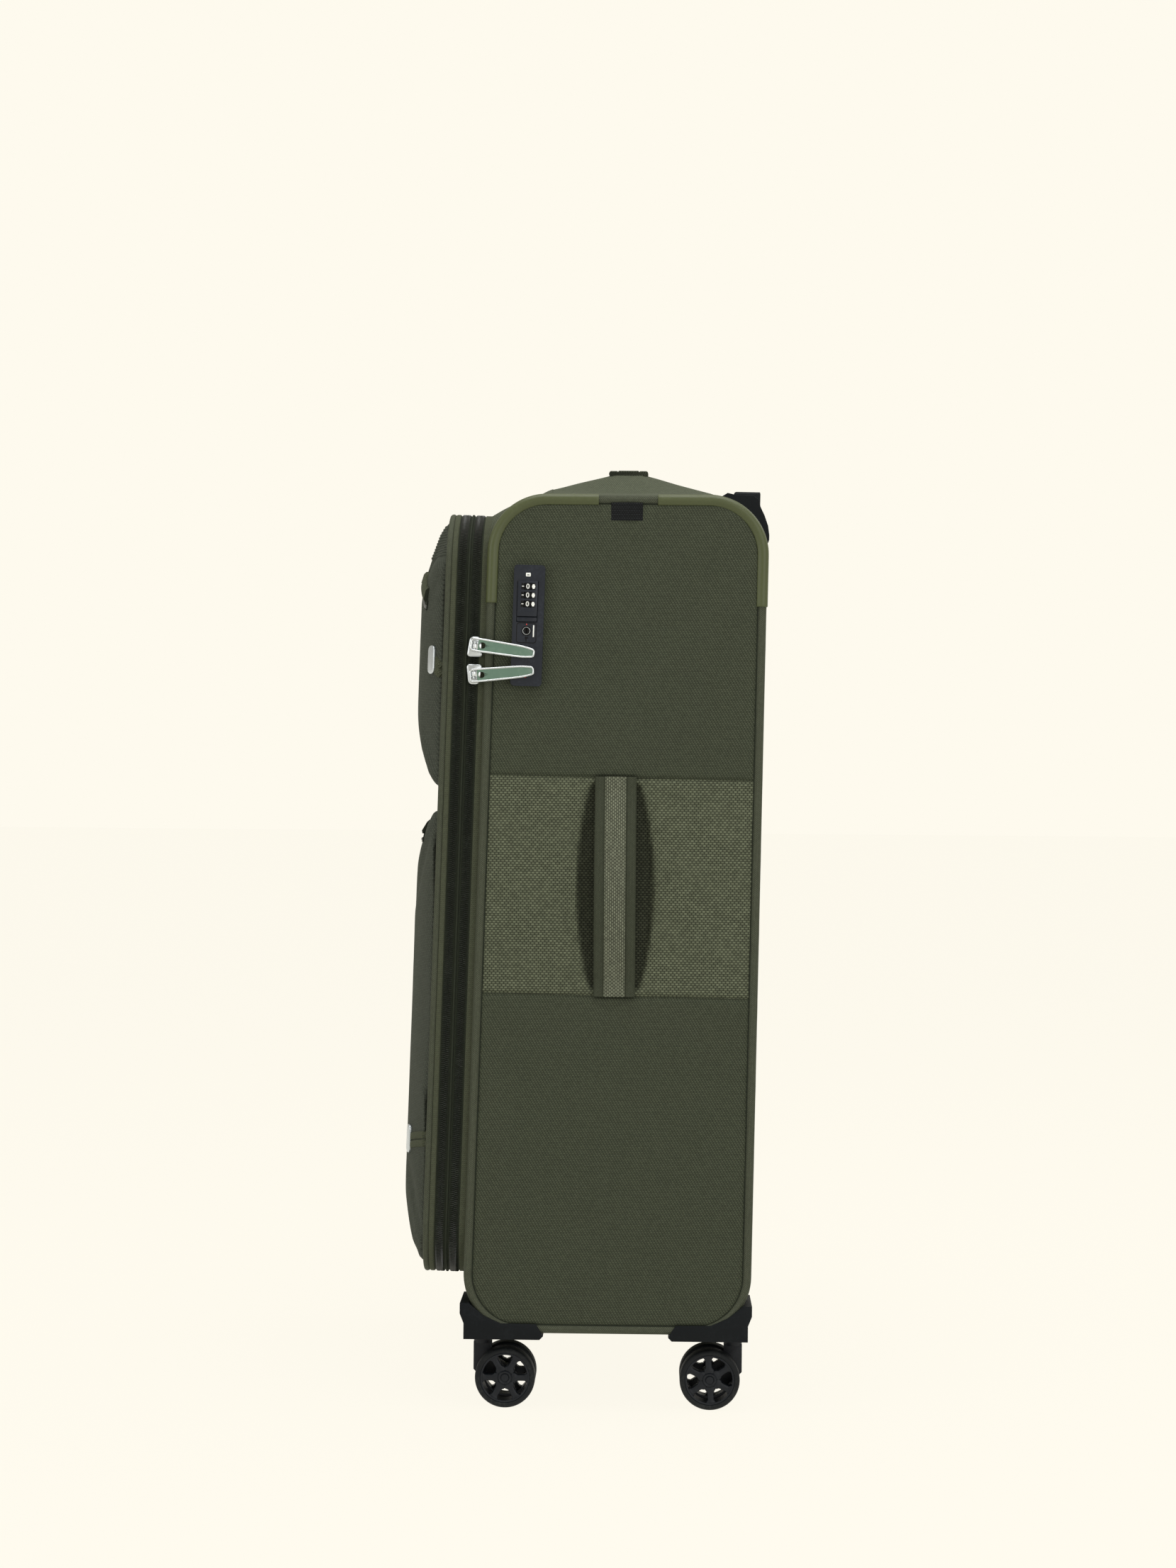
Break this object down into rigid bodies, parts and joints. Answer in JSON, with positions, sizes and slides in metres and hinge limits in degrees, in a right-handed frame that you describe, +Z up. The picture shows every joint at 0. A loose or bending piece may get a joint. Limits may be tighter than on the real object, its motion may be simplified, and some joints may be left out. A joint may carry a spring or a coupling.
{
  "type": "soft-sided spinner suitcase",
  "caption": "Soft-sided expandable travel case with zipped lid, front pockets, combination lock, telescopic handle, carrying straps and double-wheel castors.",
  "frame": {"origin": "on the floor, under the middle of the whole case's bounding box", "axes": "+X towards the side panel that carries the lock, +Y towards the back (pull-out handle), +Z up"},
  "size_m": [0.495, 0.3018, 0.785],
  "materials": {
    "body_fabric": "ribbed polyester twill, matt",
    "rim_fabric": "smooth polyester, matt",
    "pocket_fabric": "smooth fine-woven polyester, matt",
    "strap_fabric": "coarse basket-weave webbing on padded strap",
    "piping": "piping covered in soft vinyl",
    "sleeve_pvc": "satin moulded vinyl",
    "black_webbing": "ribbed webbing",
    "zip_tape": "woven zip tape with coil teeth",
    "lining": "plain light lining cloth",
    "lock_plastic": "satin moulded plastic",
    "dial_plastic": "satin moulded plastic with light figures",
    "black_plastic": "finely textured moulded plastic",
    "wheel_rubber": "matt moulded tread and disc",
    "satin_metal": "satin nickel-coloured casting",
    "puller_metal": "satin metal frame with green soft insert",
    "tube_metal": "brushed and anodised tube"
  },
  "bodies": {
    "case": {"back_panel": "body_fabric", "side_panel_right": "body_fabric", "side_panel_left": "body_fabric", "top_panel": "body_fabric", "bottom_panel": "body_fabric", "mouth_rim": "rim_fabric", "edge_piping": "piping", "corner_sleeves": "sleeve_pvc", "webbing_tab": "black_webbing", "side_handle": "strap_fabric", "top_handle": "strap_fabric", "lock_housing": "lock_plastic", "trolley_housing": "black_plastic", "trolley_outer_tubes": "tube_metal", "corner_guards": "black_plastic", "side_feet": "black_plastic", "body_zip_tape": "zip_tape", "hinge_strip": "rim_fabric", "back_lining": "lining", "packing_straps": "black_webbing"},
    "lid_rim": {"lid_rim_band": "rim_fabric", "rim_zip_tapes": "zip_tape"},
    "lid_front": {"lid_zip_tape": "zip_tape", "lid_band": "rim_fabric", "lid_piping": "piping", "lid_panel": "body_fabric", "expansion_gusset": "rim_fabric", "upper_pocket": "pocket_fabric", "lower_pocket": "pocket_fabric", "badge_plates": "satin_metal"},
    "expander_slider": {"expander_slider": "satin_metal"},
    "upper_pocket_slider": {"upper_pocket_slider": "satin_metal"},
    "lower_pocket_slider": {"lower_pocket_slider": "satin_metal"},
    "main_slider_upper": {"main_slider_upper": "satin_metal"},
    "main_puller_upper": {"main_puller_upper": "puller_metal"},
    "main_slider_lower": {"main_slider_lower": "satin_metal"},
    "main_puller_lower": {"main_puller_lower": "puller_metal"},
    "trolley_middle": {"trolley_middle_tubes": "tube_metal"},
    "trolley_upper": {"trolley_upper_tubes": "tube_metal", "trolley_grip": "black_plastic"},
    "trolley_button": {"trolley_button": "black_plastic"},
    "lock_dial_upper": {"lock_dial_upper": "dial_plastic"},
    "lock_dial_middle": {"lock_dial_middle": "dial_plastic"},
    "lock_dial_lower": {"lock_dial_lower": "dial_plastic"},
    "lock_release": {"lock_release": "lock_plastic"},
    "lock_key_barrel": {"lock_key_barrel": "satin_metal"},
    "castor_front_right": {"fork_front_right": "black_plastic"},
    "wheel_outer_front_right": {"wheel_outer_front_right": "wheel_rubber"},
    "wheel_inner_front_right": {"wheel_inner_front_right": "wheel_rubber"},
    "castor_back_right": {"fork_back_right": "black_plastic"},
    "wheel_outer_back_right": {"wheel_outer_back_right": "wheel_rubber"},
    "wheel_inner_back_right": {"wheel_inner_back_right": "wheel_rubber"},
    "castor_front_left": {"fork_front_left": "black_plastic"},
    "wheel_outer_front_left": {"wheel_outer_front_left": "wheel_rubber"},
    "wheel_inner_front_left": {"wheel_inner_front_left": "wheel_rubber"},
    "castor_back_left": {"fork_back_left": "black_plastic"},
    "wheel_outer_back_left": {"wheel_outer_back_left": "wheel_rubber"},
    "wheel_inner_back_left": {"wheel_inner_back_left": "wheel_rubber"}
  },
  "joints": [
    {"name": "lid_hinge", "type": "hinge", "parent": "case", "child": "lid_rim", "pos_m": [-0.234, -0.10003, 0.40013], "axis": [0, -0.0262, -0.9997], "range_deg": [0, 175]},
    {"name": "lid_expand", "type": "slide", "parent": "lid_rim", "child": "lid_front", "axis": [0, -0.9997, 0.0262], "range_m": [0, 0.038]},
    {"name": "expander_slider_travel", "type": "slide", "parent": "lid_rim", "child": "expander_slider", "axis": [1, 0, 0], "range_m": [0, 0.28]},
    {"name": "upper_pocket_slider_travel", "type": "slide", "parent": "lid_front", "child": "upper_pocket_slider", "axis": [1, 0, 0], "range_m": [0, 0.28]},
    {"name": "lower_pocket_slider_travel", "type": "slide", "parent": "lid_front", "child": "lower_pocket_slider", "axis": [1, 0, 0], "range_m": [0, 0.28]},
    {"name": "main_slider_upper_travel", "type": "slide", "parent": "case", "child": "main_slider_upper", "axis": [0, 0.0262, 0.9997], "range_m": [0, 0.052]},
    {"name": "main_puller_upper_swing", "type": "hinge", "parent": "main_slider_upper", "child": "main_puller_upper", "pos_m": [0.2408, -0.09261, 0.62601], "axis": [0, -0.0262, -0.9997], "range_deg": [0, 160]},
    {"name": "main_slider_lower_travel", "type": "slide", "parent": "case", "child": "main_slider_lower", "axis": [0, -0.0262, -0.9997], "range_m": [0, 0.44]},
    {"name": "main_puller_lower_swing", "type": "hinge", "parent": "main_slider_lower", "child": "main_puller_lower", "pos_m": [0.2408, -0.0932, 0.60342], "axis": [0, -0.0262, -0.9997], "range_deg": [0, 160]},
    {"name": "trolley_middle_slide", "type": "slide", "parent": "case", "child": "trolley_middle", "axis": [0, 0.014, 0.9999], "range_m": [0, 0.15]},
    {"name": "trolley_upper_slide", "type": "slide", "parent": "trolley_middle", "child": "trolley_upper", "axis": [0, 0.014, 0.9999], "range_m": [0, 0.15]},
    {"name": "trolley_button_press", "type": "slide", "parent": "trolley_upper", "child": "trolley_button", "axis": [0, -0.014, -0.9999], "range_m": [0, 0.003], "stiffness_N_per_m": 300},
    {"name": "lock_dial_upper_spin", "type": "hinge", "parent": "case", "child": "lock_dial_upper", "pos_m": [0.23149, -0.04931, 0.67519], "axis": [0, 0.0262, 0.9997], "continuous": true},
    {"name": "lock_dial_middle_spin", "type": "hinge", "parent": "case", "child": "lock_dial_middle", "pos_m": [0.23149, -0.0495, 0.66799], "axis": [0, 0.0262, 0.9997], "continuous": true},
    {"name": "lock_dial_lower_spin", "type": "hinge", "parent": "case", "child": "lock_dial_lower", "pos_m": [0.23149, -0.04968, 0.6608], "axis": [0, 0.0262, 0.9997], "continuous": true},
    {"name": "lock_release_slide", "type": "slide", "parent": "case", "child": "lock_release", "axis": [0, 0.0262, 0.9997], "range_m": [0, 0.004], "stiffness_N_per_m": 200},
    {"name": "lock_key_turn", "type": "hinge", "parent": "case", "child": "lock_key_barrel", "pos_m": [0.237, -0.05026, 0.6389], "axis": [1, 0, 0], "range_deg": [0, 90]},
    {"name": "castor_front_right_swivel", "type": "hinge", "parent": "case", "child": "castor_front_right", "pos_m": [0.2, -0.08282, 0.055], "axis": [0, 0, 1], "continuous": true},
    {"name": "wheel_outer_front_right_spin", "type": "hinge", "parent": "castor_front_right", "child": "wheel_outer_front_right", "pos_m": [0.2, -0.06352, 0.0248], "axis": [1, 0, 0], "continuous": true},
    {"name": "wheel_inner_front_right_spin", "type": "hinge", "parent": "castor_front_right", "child": "wheel_inner_front_right", "pos_m": [0.2, -0.06352, 0.0248], "axis": [1, 0, 0], "continuous": true},
    {"name": "castor_back_right_swivel", "type": "hinge", "parent": "case", "child": "castor_back_right", "pos_m": [0.2, 0.12439, 0.055], "axis": [0, 0, 1], "continuous": true},
    {"name": "wheel_outer_back_right_spin", "type": "hinge", "parent": "castor_back_right", "child": "wheel_outer_back_right", "pos_m": [0.2, 0.10509, 0.0248], "axis": [1, 0, 0], "continuous": true},
    {"name": "wheel_inner_back_right_spin", "type": "hinge", "parent": "castor_back_right", "child": "wheel_inner_back_right", "pos_m": [0.2, 0.10509, 0.0248], "axis": [1, 0, 0], "continuous": true},
    {"name": "castor_front_left_swivel", "type": "hinge", "parent": "case", "child": "castor_front_left", "pos_m": [-0.2, -0.08282, 0.055], "axis": [0, 0, 1], "continuous": true},
    {"name": "wheel_outer_front_left_spin", "type": "hinge", "parent": "castor_front_left", "child": "wheel_outer_front_left", "pos_m": [-0.2, -0.06352, 0.0248], "axis": [1, 0, 0], "continuous": true},
    {"name": "wheel_inner_front_left_spin", "type": "hinge", "parent": "castor_front_left", "child": "wheel_inner_front_left", "pos_m": [-0.2, -0.06352, 0.0248], "axis": [1, 0, 0], "continuous": true},
    {"name": "castor_back_left_swivel", "type": "hinge", "parent": "case", "child": "castor_back_left", "pos_m": [-0.2, 0.12439, 0.055], "axis": [0, 0, 1], "continuous": true},
    {"name": "wheel_outer_back_left_spin", "type": "hinge", "parent": "castor_back_left", "child": "wheel_outer_back_left", "pos_m": [-0.2, 0.10509, 0.0248], "axis": [1, 0, 0], "continuous": true},
    {"name": "wheel_inner_back_left_spin", "type": "hinge", "parent": "castor_back_left", "child": "wheel_inner_back_left", "pos_m": [-0.2, 0.10509, 0.0248], "axis": [1, 0, 0], "continuous": true}
  ]
}
